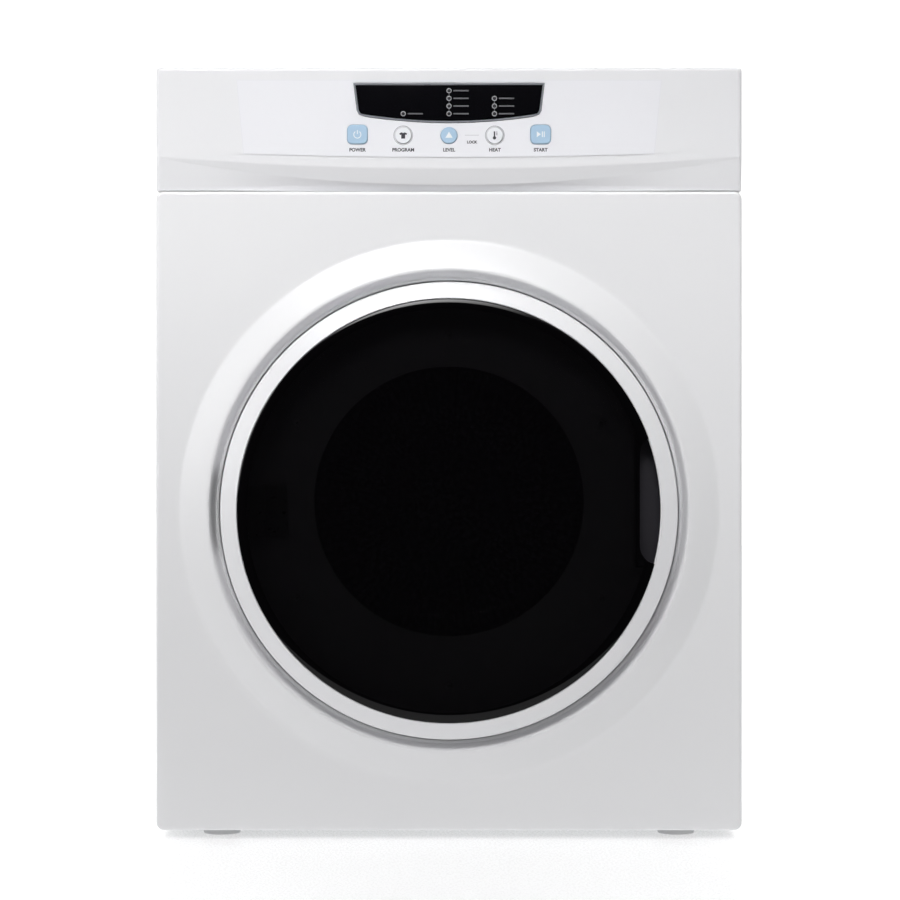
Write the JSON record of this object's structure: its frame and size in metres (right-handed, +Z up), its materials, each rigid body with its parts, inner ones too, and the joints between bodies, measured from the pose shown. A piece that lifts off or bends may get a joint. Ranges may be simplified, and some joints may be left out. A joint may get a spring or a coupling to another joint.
{
  "type": "clothes dryer",
  "caption": "Compact vented front-loading clothes dryer with a round dark-glass door, a raised door surround and a push-button console.",
  "frame": {"origin": "on the floor under the centre of the dryer's bounding box", "axes": "+Z up, the front with the door faces -Y, +X to the user's right"},
  "size_m": [0.595, 0.564, 0.785],
  "materials": {
    "white_enamel": "stoved white enamel with a faint orange peel",
    "white_plastic": "glossy moulded white",
    "label_film": "satin printed film",
    "silver_trim": "silver painted",
    "display_black": "gloss black",
    "tinted_glass": "dark tinted, polished",
    "clear_window": "clear, polished",
    "button_blue": "pale blue, satin gloss",
    "button_white": "white, satin gloss",
    "dark_plastic": "fine grained black",
    "grey_plastic": "fine grained grey",
    "galvanised": "zinc coated sheet",
    "stainless": "brushed",
    "steel": "machined",
    "rubber": "matt black",
    "foot_plastic": "fine grained pale grey",
    "felt": "pressed wool felt",
    "circuit_board": "green solder mask",
    "heater_wire": "heat tinted"
  },
  "bodies": {
    "cabinet": {"base_pan": "galvanised", "left_side_panel": "white_enamel", "right_side_panel": "white_enamel", "rear_panel": "galvanised", "top_panel": "white_enamel", "front_panel": "white_enamel", "front_bulkhead": "galvanised", "drum_collar": "galvanised", "rear_bulkhead": "galvanised", "console_fascia": "white_plastic", "label_film": "label_film", "display_bezel": "silver_trim", "display_window": "display_black", "control_board": "circuit_board", "power_inlet": "dark_plastic", "hinge_bracket": "steel", "hinge_pin": "steel", "door_latch": "grey_plastic", "shaft_bearing": "steel", "front_seal": "felt", "rear_seal": "felt", "motor": "steel", "motor_bracket": "galvanised", "drive_belt": "rubber", "tension_spring": "steel", "blower_housing": "grey_plastic", "lint_duct": "grey_plastic", "exhaust_duct": "galvanised", "exhaust_collar": "white_plastic", "heater_housing": "galvanised", "heater_coil": "heater_wire"},
    "door": {"door_ring": "white_plastic", "door_glass": "tinted_glass", "door_handle": "dark_plastic", "door_liner": "grey_plastic", "door_window": "clear_window", "door_gasket": "rubber", "door_hook": "steel", "hinge_arm": "steel"},
    "drum": {"drum_shell": "stainless", "drum_baffle_1": "grey_plastic", "drum_baffle_2": "grey_plastic", "drum_baffle_3": "grey_plastic", "drum_shaft": "steel"},
    "motor_rotor": {"motor_shaft": "steel", "blower_wheel": "grey_plastic"},
    "tensioner": {"tension_arm": "steel"},
    "idler": {"tension_pulley": "grey_plastic"},
    "roller_left": {"support_roller_left": "rubber"},
    "roller_right": {"support_roller_right": "rubber"},
    "filter": {"lint_filter": "grey_plastic"},
    "power_button": {"power_button": "button_blue"},
    "program_button": {"program_button": "button_white"},
    "level_button": {"level_button": "button_blue"},
    "heat_button": {"heat_button": "button_white"},
    "start_button": {"start_button": "button_blue"},
    "foot_front_left": {"foot_front_left": "foot_plastic"},
    "foot_front_right": {"foot_front_right": "foot_plastic"},
    "foot_rear_left": {"foot_rear_left": "foot_plastic"},
    "foot_rear_right": {"foot_rear_right": "foot_plastic"}
  },
  "joints": [
    {"name": "door_hinge", "type": "hinge", "parent": "cabinet", "child": "door", "pos_m": [-0.217, -0.2602, 0.335], "axis": [0, 0, -1], "range_deg": [0, 110]},
    {"name": "drum_spin", "type": "hinge", "parent": "cabinet", "child": "drum", "pos_m": [0, -0.0125, 0.335], "axis": [0, 1, 0], "continuous": true},
    {"name": "motor_spin", "type": "hinge", "parent": "cabinet", "child": "motor_rotor", "pos_m": [0.21, 0.007, 0.095], "axis": [0, 1, 0], "continuous": true},
    {"name": "idler_spin", "type": "hinge", "parent": "tensioner", "child": "idler", "pos_m": [0.14, 0.093, 0.08], "axis": [0, 1, 0], "continuous": true},
    {"name": "roller_left_spin", "type": "hinge", "parent": "cabinet", "child": "roller_left", "pos_m": [-0.21891, -0.164, 0.16397], "axis": [0, 1, 0], "continuous": true},
    {"name": "roller_right_spin", "type": "hinge", "parent": "cabinet", "child": "roller_right", "pos_m": [0.21891, -0.164, 0.16397], "axis": [0, 1, 0], "continuous": true},
    {"name": "tensioner_swing", "type": "hinge", "parent": "cabinet", "child": "tensioner", "pos_m": [0.185, 0.104, 0.032], "axis": [0, -1, 0], "range_deg": [0, 8], "stiffness_Nm_per_rad": 1, "springref_deg": -22.92},
    {"name": "filter_lift", "type": "slide", "parent": "cabinet", "child": "filter", "axis": [0, 0, 1], "range_m": [0, 0.105]},
    {"name": "power_button_press", "type": "slide", "parent": "cabinet", "child": "power_button", "axis": [0, 1, 0], "range_m": [0, 0.0012], "stiffness_N_per_m": 400, "springref_m": -0.001},
    {"name": "program_button_press", "type": "slide", "parent": "cabinet", "child": "program_button", "axis": [0, 1, 0], "range_m": [0, 0.0012], "stiffness_N_per_m": 400, "springref_m": -0.001},
    {"name": "level_button_press", "type": "slide", "parent": "cabinet", "child": "level_button", "axis": [0, 1, 0], "range_m": [0, 0.0012], "stiffness_N_per_m": 400, "springref_m": -0.001},
    {"name": "heat_button_press", "type": "slide", "parent": "cabinet", "child": "heat_button", "axis": [0, 1, 0], "range_m": [0, 0.0012], "stiffness_N_per_m": 400, "springref_m": -0.001},
    {"name": "start_button_press", "type": "slide", "parent": "cabinet", "child": "start_button", "axis": [0, 1, 0], "range_m": [0, 0.0012], "stiffness_N_per_m": 400, "springref_m": -0.001},
    {"name": "foot_front_left_screw", "type": "slide", "parent": "cabinet", "child": "foot_front_left", "axis": [0, 0, 1], "range_m": [-0.015, 0]},
    {"name": "foot_front_right_screw", "type": "slide", "parent": "cabinet", "child": "foot_front_right", "axis": [0, 0, 1], "range_m": [-0.015, 0]},
    {"name": "foot_rear_left_screw", "type": "slide", "parent": "cabinet", "child": "foot_rear_left", "axis": [0, 0, 1], "range_m": [-0.015, 0]},
    {"name": "foot_rear_right_screw", "type": "slide", "parent": "cabinet", "child": "foot_rear_right", "axis": [0, 0, 1], "range_m": [-0.015, 0]}
  ],
  "couplings": [
    {"joint": "motor_spin", "follows": "drum_spin", "ratio": 25.6},
    {"joint": "idler_spin", "follows": "drum_spin", "ratio": -17.067},
    {"joint": "roller_left_spin", "follows": "drum_spin", "ratio": -11.591},
    {"joint": "roller_right_spin", "follows": "drum_spin", "ratio": -11.591}
  ]
}
